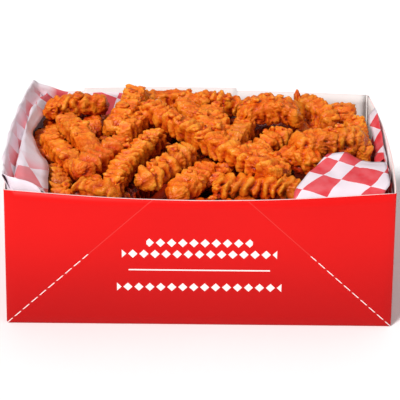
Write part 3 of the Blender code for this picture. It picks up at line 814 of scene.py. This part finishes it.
# Fries that show from above: place in x, y and z, heading from +X and pitch in degrees, length,
# bend to one side, arch upwards and thickness, the rest in millimetres
SHOWING_FRIES = (
    (5, -15, 94, -46, -4, 114, -5, 2, 12.6),
    (-1, 10, 94, -60, -4, 52, 0, 2, 12.6),
    (-38, -32, 87, -112, -3, 68, -3, 1, 12.6),
    (-20, -45, 89, -121, 0, 52, 2, 1, 13.0),
    (-60, -66, 81, -20, 0, 27, 0, 2, 13.0),
    (-81, -17, 82, -62, -2, 58, -2, 2, 12.6),
    (-85, -46, 75, -78, 0, 48, 2, 0, 13.2),
    (-59, -33, 89, -119, 0, 51, 2, 1, 13.2),
    (-4, -54, 82, -124, -4, 40, 0, 1, 14.6),
    (34, -59, 81, -2, 0, 50, 2, 1, 13.2),
    (40, -33, 86, -61, -5, 36, 0, 0, 13.8),
    (77, -17, 92, 12, 0, 46, -3, 3, 15.0),
    (43, 18, 93, 4, 0, 38, 4, 5, 15.0),
    (43, 33, 93, -6, 0, 36, 0, 4, 13.2),
    (74, 43, 87, -66, 0, 42, 3, 1, 13.2),
    (92, 50, 83, -94, 20, 30, 0, 0, 15.6),
    (97, 5, 86, -89, 0, 50, 0, 1, 12.6),
    (13, 56, 88, -27, 0, 32, 0, 1, 12.6),
    (-17, 57, 88, -4, 0, 44, 3, 1, 13.2),
    (10, 16, 89, -81, 0, 54, 0, 1, 13.8),
    (24, 3, 89, -108, 0, 34, 0, 1, 13.2),
    (59, -30, 86, -25, 0, 26, 0, 2, 14.0),
    (44, -5, 87, -122, 0, 32, 0, 1, 13.2),
    (-79.5, 42, 90.5, 17, 0, 38, 0, 2, 13.2),
    (-75, -1, 89, -66, 0, 54, 0, 1, 13.2),
    (-48, 28, 94, -102, 0, 62, 3, 2, 13.2),
    (-37, 16, 92, -119, 0, 46, 0, 1, 12.6),
    (15, -36, 81, -123, 0, 40, 0, 0, 12.6),
    (-71, 46, 79, 100, 0, 40, 0, 0, 13.2),
    (-92, 16, 77, 96, 0, 56, 0, 0, 12.6),
    (-99, 4, 76, 86, 0, 50, 0, 0, 12.6),
    (-90, 44, 75, 74, 0, 32, 0, 0, 12.6),
    (62, 34, 77, 8, 0, 62, 0, 0, 13.0),
    (50, 66, 67.5, 3, 0, 56, 0, 0, 12.6),
    (68.5, 56, 74, 86, -4, 34, 0, 0, 12.6),
    (16, 56, 75, -15, 0, 31, 0, 0, 12.6),
)


class Fry:
    """One fry: a straight or gently bent stick of square section, in metres."""

    def __init__(self, place, heading, pitch, length, bend, arch, thickness):
        self.middle = Vector(place)
        level = Vector((math.cos(heading), math.sin(heading), 0))
        self.ahead = level * math.cos(pitch) + Vector((0, 0, math.sin(pitch)))
        self.aside = Vector((-math.sin(heading), math.cos(heading), 0))
        self.above = self.ahead.cross(self.aside)
        self.length = length
        self.bend = bend
        self.arch = arch
        self.half = thickness / 2

    def point(self, along):
        """A point of the centre line, a distance along from its middle."""
        bowed = 1 - (2 * along / self.length) ** 2
        return self.middle + self.ahead * along + (self.aside * self.bend + self.above * self.arch) * bowed


def core_top(x, y):
    """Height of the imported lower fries: a low dome, sunk under the folded paper and at the back right."""
    dome = CORE_EDGE + CORE_RISE * (1 - (x / HALF_LENGTH) ** 2) * (1 - (y / HALF_WIDTH) ** 2)
    corner = between(x, *CORE_CORNER[0]) * between(-y, *CORE_CORNER[1])
    back = between(x, *CORE_BACK[0]) * between(y, *CORE_BACK[1])
    return dome - CORE_CORNER_DROP * corner - CORE_BACK_DROP * back


def showing_fries():
    fries = []
    for x, y, z, heading, pitch, *lengths in SHOWING_FRIES:
        place = Vector((x, y, z)) * MM
        sizes = [length * MM for length in lengths]
        fries.append(Fry(place, math.radians(heading), math.radians(pitch), *sizes))
    return fries


def wall_at(x, z, side):
    """Where the front wall (side -1) or the back wall (side 1) is at a place and height."""
    return lean((x, side * HALF_WIDTH, z)).y


def keep_inside(fry):
    """Shortens a fry, and draws it towards the middle, until both ends lie inside the paper."""
    margin = fry.half + WALL_CLEARANCE
    while fry.length > SHORTEST_FRY:
        ends = [fry.point(fry.length / 2), fry.point(-fry.length / 2)]
        if all(
            LEFT_LIMIT + fry.half < end.x < RIGHT_LIMIT - fry.half
            and wall_at(end.x, end.z, -1) + margin < end.y < wall_at(end.x, end.z, 1) - margin
            for end in ends
        ):
            return
        fry.length -= 2 * MM
        fry.middle -= Vector((math.copysign(MM, fry.middle.x), math.copysign(MM / 2, fry.middle.y), 0))


def filler_fries():
    """Fries of the layer below, in rows from front to back; the outer rows lie along the walls."""
    draw = random.Random(FILLER_SEED)
    fries = []
    for row in range(FILLER_ROWS):
        side = {0: -1, FILLER_ROWS - 1: 1}.get(row, 0)
        turn = OUTER_TURN if side else math.pi / 2
        for column in range(FILLER_COLUMNS):
            across = (column + draw.uniform(*FILLER_SHIFT)) / FILLER_COLUMNS
            deep = (row + draw.uniform(*FILLER_SHIFT)) / FILLER_ROWS
            thickness = draw.uniform(*FILLER_THICKNESSES)
            x = LEFT_LIMIT + (RIGHT_LIMIT - LEFT_LIMIT) * across
            y = HALF_WIDTH * (2 * deep - 1)
            if side:
                y = wall_at(x, CORE_EDGE, side) - side * (WALL_CLEARANCE + thickness)
            z = core_top(x, y) + thickness * draw.uniform(*FILLER_RISES)
            angles = (draw.uniform(-turn, turn), math.radians(draw.uniform(-FILLER_PITCH, FILLER_PITCH)))
            fry = Fry((x, y, z), *angles, draw.uniform(*FILLER_LENGTHS), 0.0, 0.0, thickness)
            keep_inside(fry)
            fries.append(fry)
    return fries


def batter(co):
    """Relief of the crust at a place: soft lumps, sharp crags and a fine grain, in metres."""
    lumps = noise.fractal(co * LUMPS[0], 1.0, 2.0, 2) * LUMPS[1]
    patch = max(0.65 + 1.1 * noise.noise(co * CRAG_PATCHES), 0.2)
    crags = (noise.ridged_multi_fractal(co * CRAGS[0], 0.8, 2.1, 2, 1.0, 2.0) - 1.0) * CRAGS[1] * patch
    grain = noise.fractal(co * FINE_GRAIN[0], 0.6, 2.0, 2) * FINE_GRAIN[1]
    return lumps, crags, grain


def fried_stick(fry, number, grain, tint):
    """One fry with its ridges and crust; the crest attribute says how far each point stands out."""
    rings = round(fry.length / grain)
    sides = round(2 * fry.half / grain)
    bm = bmesh.new()
    crest_layer = bm.verts.layers.float.new("crest")
    tint_layer = bm.verts.layers.float.new("tint")
    bmesh.ops.create_cube(bm, size=2.0)
    cut_box(bm, (rings - 1, sides - 1, sides - 1))
    draw = random.Random(number)
    pitch = draw.uniform(*RIDGES)
    depth = draw.uniform(*RIDGE_DEPTHS)
    slant = draw.uniform(-RIDGE_SLANT, RIDGE_SLANT)
    drift = Vector((number * 3.7, number * 1.3, 0))
    for vert in bm.verts:
        u, v, w = vert.co
        rim = max(abs(v), abs(w))
        spread = (v ** 4 + w ** 4) ** 0.25
        side, rise = (v * rim / spread, w * rim / spread) if spread > 0 else (0.0, 0.0)
        along = u * fry.length / 2
        near_end = min((fry.length / 2 - abs(along)) / END_ROUND, 1.0)
        share = END_SHARE + (1 - END_SHARE) * math.sqrt(1 - (1 - near_end) ** 2)
        if abs(u) > 0.999:
            along += math.copysign(END_DOME * (1 - rim * rim), u)
        rough = fry.point(along) + fry.aside * side * fry.half + fry.above * rise * fry.half
        wobble = RIDGE_WANDER[0] * noise.noise(rough * RIDGE_WANDER[1] + drift) + slant * side
        wobble += RIDGE_BOW * (side * side - rise * rise)
        valley = 0.5 - 0.5 * math.cos(2 * math.pi * (along / pitch + wobble))
        bead = 1 + RIDGE_BEAD[0] * noise.noise(rough * RIDGE_BEAD[1] - drift)
        ridge = depth * (0.5 - valley ** VALLEY_SHARPNESS) * bead
        lumps, crags, fine = batter(rough + drift * 0.01)
        reach = (fry.half - CRUST_SINK + ridge) * share + lumps + crags + fine
        vert.co = fry.point(along) + fry.aside * side * reach + fry.above * rise * reach
        if abs(u) > 0.999:
            vert.co += fry.ahead * math.copysign(lumps + crags + fine, u)
        # painted shade and highlight: the crest value, which sets the batter's colour, rises on the crests
        # and falls on fries low in the heap
        soaked = between(DEPTH_SHADE_FROM - vert.co.z, 0.0, DEPTH_SHADE_SPAN)
        standing = (0.6 * ridge + 0.7 * lumps + crags) / CREST_RELIEF
        vert[crest_layer] = CREST_MIDDLE + standing - DEPTH_SHADE_STRENGTH * soaked
        vert[tint_layer] = tint + TINT_PATCHES[0] * noise.noise(rough * TINT_PATCHES[1] + drift)
    mesh = bpy.data.meshes.new("stick")
    bm.to_mesh(mesh)
    bm.free()
    return mesh


def crisp_batter(name, gloss, deep, shade, body, light):
    """Seasoned batter fried in oil: a craggy golden-orange crust, with painted deep red-brown shade in its
    valleys and a painted paler highlight on its crests, with a film of oil that glints."""
    made, tree, shader = new_material(name, 0.42, gloss)
    shader.inputs["Subsurface Weight"].default_value = 0.12
    shader.inputs["Subsurface Radius"].default_value = (0.0016, 0.0007, 0.0003)
    shader.inputs["Subsurface Scale"].default_value = 1.0
    place = add_node(tree, "ShaderNodeTexCoord").outputs["Object"]
    crest = add_node(tree, "ShaderNodeAttribute", {"attribute_name": "crest"}).outputs["Fac"]
    tint = add_node(tree, "ShaderNodeAttribute", {"attribute_name": "tint"}).outputs["Fac"]
    speck = add_node(tree, "ShaderNodeTexNoise", None,
                     {"Vector": place, "Scale": 420.0, "Detail": 4.0, "Roughness": 0.65}).outputs["Fac"]
    mottled = add_node(tree, "ShaderNodeMath", {"operation": "MULTIPLY_ADD"},
                       {0: speck, 1: 0.5, 2: crest}).outputs[0]
    level = add_node(tree, "ShaderNodeMath", {"operation": "SUBTRACT"}, {0: mottled, 1: 0.25}).outputs[0]
    # painted shade and highlight: low crest values turn dark red-brown, high ones pale
    ramp = add_node(tree, "ShaderNodeValToRGB", None, {"Fac": level})
    stops = ramp.color_ramp.elements
    stops[0].position, stops[0].color = 0.05, linear(deep)
    stops[1].position, stops[1].color = 1.0, linear(light)
    for position, colour in ((0.30, shade), (0.58, body)):
        stops.new(position).color = linear(colour)
    colour = ramp.outputs["Color"]
    for low, high, most, hue in ((0.55, 1.0, 0.5, "B8701C"), (0.35, 0.0, 0.45, "CC3A06")):
        share = add_node(tree, "ShaderNodeMapRange", None,
                         {"Value": tint, "From Min": low, "From Max": high, "To Max": most}).outputs[0]
        colour = add_node(tree, "ShaderNodeMix", {"data_type": "RGBA"},
                          {"Factor": share, "A": colour, "B": linear(hue)}).outputs["Result"]
    tree.links.new(colour, shader.inputs["Base Color"])
    oil = add_node(tree, "ShaderNodeTexNoise", None,
                   {"Vector": place, "Scale": 180.0, "Detail": 2.0}).outputs["Fac"]
    shine = add_node(tree, "ShaderNodeMapRange", None,
                     {"Value": oil, "From Min": 0.35, "From Max": 0.65,
                      "To Min": 0.22, "To Max": 0.5}).outputs[0]
    tree.links.new(shine, shader.inputs["Roughness"])
    fine = add_node(tree, "ShaderNodeTexNoise", None,
                    {"Vector": place, "Scale": 700.0, "Detail": 4.0}).outputs["Fac"]
    bump = add_node(tree, "ShaderNodeBump", None,
                    {"Strength": 0.9, "Distance": 0.0007, "Height": fine}).outputs["Normal"]
    tree.links.new(bump, shader.inputs["Normal"])
    return made


def numbered(fries, first_number):
    """Gives each fry its number, which sets its ridges, and how brown its batter is."""
    draw = random.Random(first_number + 5)
    return [(fry, number, draw.uniform(*TINTS)) for number, fry in enumerate(fries, first_number)]


def make_fries(name, fries, grain, finish):
    bm = bmesh.new()
    for fry, number, tint in fries:
        mesh = fried_stick(fry, number, grain, tint)
        bm.from_mesh(mesh)
        bpy.data.meshes.remove(mesh)
    piece = add_piece(name, bm, [finish], 180)
    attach(piece, "root")
    return piece


def make_core(finish):
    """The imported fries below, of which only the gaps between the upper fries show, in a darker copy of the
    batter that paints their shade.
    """
    inset = BOARD + WALL_GAP + PAPER + CORE_GAP
    floor = BOARD + FLOOR_GAP + 2 * PAPER + FLOOR_GAP
    bm = upright_box(inset, floor, CORE_EDGE)
    bmesh.ops.holes_fill(bm, edges=bm.edges, sides=4)
    cut_box(bm, CORE_CUTS)
    bm.normal_update()
    crest_layer = bm.verts.layers.float.new("crest")
    tint_layer = bm.verts.layers.float.new("tint")
    for vert in bm.verts:
        share = (vert.co.z - floor) / (CORE_EDGE - floor)
        on_top = vert.co.z > CORE_EDGE - 1e-6
        vert.co.z = floor + share * (core_top(vert.co.x, vert.co.y) - floor)
        lumps, crags, fine = batter(vert.co * 0.5)
        if on_top:
            vert.co.z += 2 * lumps + 2 * crags
        vert[crest_layer] = CORE_CREST + (lumps + crags) / CORE_RELIEF
        vert[tint_layer] = CORE_TINT
        vert.co = lean(vert.co)
    bmesh.ops.recalc_face_normals(bm, faces=bm.faces)
    piece = add_piece("packed_fries", bm, [finish], 180)
    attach(piece, "root")
    return piece


def paint_hollow_shade(pieces):
    """Paints shade into the hollows between the fries: where rays upwards meet other fries, the crest value,
    and with it the batter's colour, falls.
    """
    surfaces = bmesh.new()
    for piece in pieces:
        surfaces.from_mesh(piece.data)
    tree = BVHTree.FromBMesh(surfaces)
    surfaces.free()
    rays = [Vector(ray) for ray in HOLLOW_RAYS]
    for piece in pieces:
        bm = bmesh.new()
        bm.from_mesh(piece.data)
        bm.normal_update()
        crest_layer = bm.verts.layers.float["crest"]
        for vert in bm.verts:
            start = vert.co + vert.normal * HOLLOW_LIFT
            hidden = sum(tree.ray_cast(start, ray, HOLLOW_REACH)[0] is not None for ray in rays)
            vert[crest_layer] -= HOLLOW_SHADE_STRENGTH * between(hidden / len(rays), *HOLLOW_SHADE_SPAN)
        bm.to_mesh(piece.data)
        bm.free()


crust = crisp_batter("crisp_fried_batter", CRISP_GLOSS, *CRISP_COLOURS)
# a darker copy of the batter: painted shade for the packed fries below
shaded_crust = crisp_batter("batter_in_painted_shade", SHADED_GLOSS, *SHADED_COLOURS)
near = [fry for fry in showing_fries() if fry.middle.y < FAR_FROM]
far = [fry for fry in showing_fries() if fry.middle.y >= FAR_FROM]
upper = numbered(near, 0) + numbered(far, FAR_NUMBER)
in_front = [row for row in upper if row[0].middle.y < MIDDLE_FROM]
in_middle = [row for row in upper if MIDDLE_FROM <= row[0].middle.y < BEHIND_FROM]
behind = [row for row in upper if row[0].middle.y >= BEHIND_FROM]
front_fries = make_fries("fries_in_front", in_front, GRAIN, crust)
middle_fries = make_fries("fries_in_middle", in_middle, GRAIN, crust)
back_fries = make_fries("fries_behind", behind, GRAIN, crust)
lower_fries = make_fries("fries_below", numbered(filler_fries(), FILLER_NUMBER), GRAIN_BELOW, crust)
core = make_core(shaded_crust)
paint_hollow_shade([front_fries, middle_fries, back_fries, lower_fries])
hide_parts("fries")


# Crumbs: scraps of batter that broke off in the fryer and lie on the fries and between them.

CRUMBS = 170
CRUMB_SIZES = (0.0010, 0.0028)
CRUMB_SQUASH = ((0.7, 1.5), (0.7, 1.3), (0.5, 0.9))
CRUMB_TINTS = (0.1, 0.6)
CRUMB_SEED = 3
CRUMBS_ACROSS = (LEFT_LIMIT, RIGHT_LIMIT - 0.006)
CRUMBS_DEEP = (-0.068, 0.060)
FALL_FROM = 0.2
TAIL_FOOT = Vector((0.0635, 0.0580, 0.0880))
TAIL_HEIGHT = 0.0105
TAIL_WIDTH = 0.0028
TAIL_LEAN = 0.0015
TAIL_TINT = 0.1


def add_tail(bm, crest_layer, tint_layer):
    """A tail of batter that ran off the upper end of one fry and set hard in the oil."""
    for vert in bmesh.ops.create_icosphere(bm, subdivisions=3, radius=1.0)["verts"]:
        rise = 0.5 + 0.5 * vert.co.z
        bump = noise.fractal(vert.co * 1.7, 0.8, 2.0, 2)
        wide = TAIL_WIDTH * (1.15 - 0.7 * rise) * (1 + 0.5 * bump)
        across = vert.co.x * wide - TAIL_LEAN * rise
        vert.co = TAIL_FOOT + Vector((across, vert.co.y * wide, rise * TAIL_HEIGHT))
        vert[crest_layer] = 0.5 + 0.5 * bump
        vert[tint_layer] = TAIL_TINT


def make_crumbs(finish, pieces):
    draw = random.Random(CRUMB_SEED)
    surfaces = bmesh.new()
    for piece in pieces:
        surfaces.from_mesh(piece.data)
    tree = BVHTree.FromBMesh(surfaces)
    surfaces.free()
    bm = bmesh.new()
    crest_layer = bm.verts.layers.float.new("crest")
    tint_layer = bm.verts.layers.float.new("tint")
    for number in range(CRUMBS):
        x = draw.uniform(*CRUMBS_ACROSS)
        y = draw.uniform(*CRUMBS_DEEP)
        size = draw.uniform(*CRUMB_SIZES)
        hit = tree.ray_cast(Vector((x, y, FALL_FROM)), Vector((0, 0, -1)))[0]
        made = bmesh.ops.create_icosphere(bm, subdivisions=2, radius=size)["verts"]
        if hit is None:
            continue
        squash = Vector([draw.uniform(*span) for span in CRUMB_SQUASH])
        bmesh.ops.scale(bm, vec=squash, verts=made)
        bmesh.ops.translate(bm, vec=hit + Vector((0, 0, size * 0.2)), verts=made)
        for vert in made:
            bump = noise.fractal(vert.co * 420 + Vector((number, 0, 0)), 0.8, 2.0, 2)
            vert.co += (vert.co - hit).normalized() * size * 0.6 * bump
            vert[crest_layer] = 0.6 + 0.6 * bump
            vert[tint_layer] = draw.uniform(*CRUMB_TINTS)
    add_tail(bm, crest_layer, tint_layer)
    piece = add_piece("batter_crumbs", bm, [finish], 180)
    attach(piece, "root")
    return piece


crumbs = make_crumbs(crust, [front_fries, middle_fries, back_fries, lower_fries, core])


# The studio: a pale table, a wide soft light from the upper left, a weaker one from the right,
# and a camera that looks down at the long side as the photograph does.

CAMERA_PLACE = Vector((0, -0.84917, 0.451))
CAMERA_DOWN = math.radians(25.5)
CAMERA_ROLL = 0.0095
CAMERA_LENS = 135
LIGHTS = (
    ("key_light", (-0.75, -0.95, 1.3), 14, 3.0),
    ("fill_light", (1.1, -0.9, 0.8), 50, 0.5),
    ("top_light", (0.2, 0.5, 1.5), 50, 0.5),
)
LIT_PLACE = Vector((0, 0, 0.05))
SKY_STRENGTH = 0.2
TABLE_SIZE = 4.0


def pale_table():
    """Painted board: matt and nearly white, with a very soft mottle."""
    made, tree, shader = new_material("pale_painted_table", 0.8, 0.2)
    place = add_node(tree, "ShaderNodeTexCoord").outputs["Object"]
    cloud = add_node(tree, "ShaderNodeTexNoise", None, {"Vector": place, "Scale": 6.0}).outputs["Fac"]
    colour = add_node(tree, "ShaderNodeMix", {"data_type": "RGBA"},
                      {"Factor": cloud, "A": linear("FAFAFA"), "B": linear("FDFDFD")}).outputs["Result"]
    tree.links.new(colour, shader.inputs["Base Color"])
    return made


def make_studio():
    bm = bmesh.new()
    bmesh.ops.create_grid(bm, x_segments=2, y_segments=2, size=TABLE_SIZE)
    table = add_piece("table", bm, [pale_table()], 30)
    for name, place, width, power in LIGHTS:
        lamp = bpy.data.lights.new(name, "SUN")
        lamp.angle = math.radians(width)
        lamp.energy = power
        made = bpy.data.objects.new(name, lamp)
        made.location = place
        made.rotation_euler = (LIT_PLACE - Vector(place)).to_track_quat("-Z", "Y").to_euler()
        bpy.context.scene.collection.objects.link(made)
    world = bpy.data.worlds.new("studio")
    world.use_nodes = True
    sky = world.node_tree.nodes["Background"]
    sky.inputs["Color"].default_value = linear("FFFFFF")
    sky.inputs["Strength"].default_value = SKY_STRENGTH
    bpy.context.scene.world = world
    bpy.context.scene.view_settings.view_transform = "Standard"


def make_camera():
    camera = bpy.data.objects.new("camera", bpy.data.cameras.new("camera"))
    camera.data.lens = CAMERA_LENS
    camera.data.sensor_width = 36
    camera.data.clip_start = 0.01
    ahead = Vector((0, math.cos(CAMERA_DOWN), -math.sin(CAMERA_DOWN)))
    aim = ahead.to_track_quat("-Z", "Y").to_matrix().to_4x4()
    camera.matrix_world = Matrix.Translation(CAMERA_PLACE) @ aim @ Matrix.Rotation(CAMERA_ROLL, 4, "Z")
    bpy.context.scene.collection.objects.link(camera)
    bpy.context.scene.camera = camera


make_studio()
make_camera()
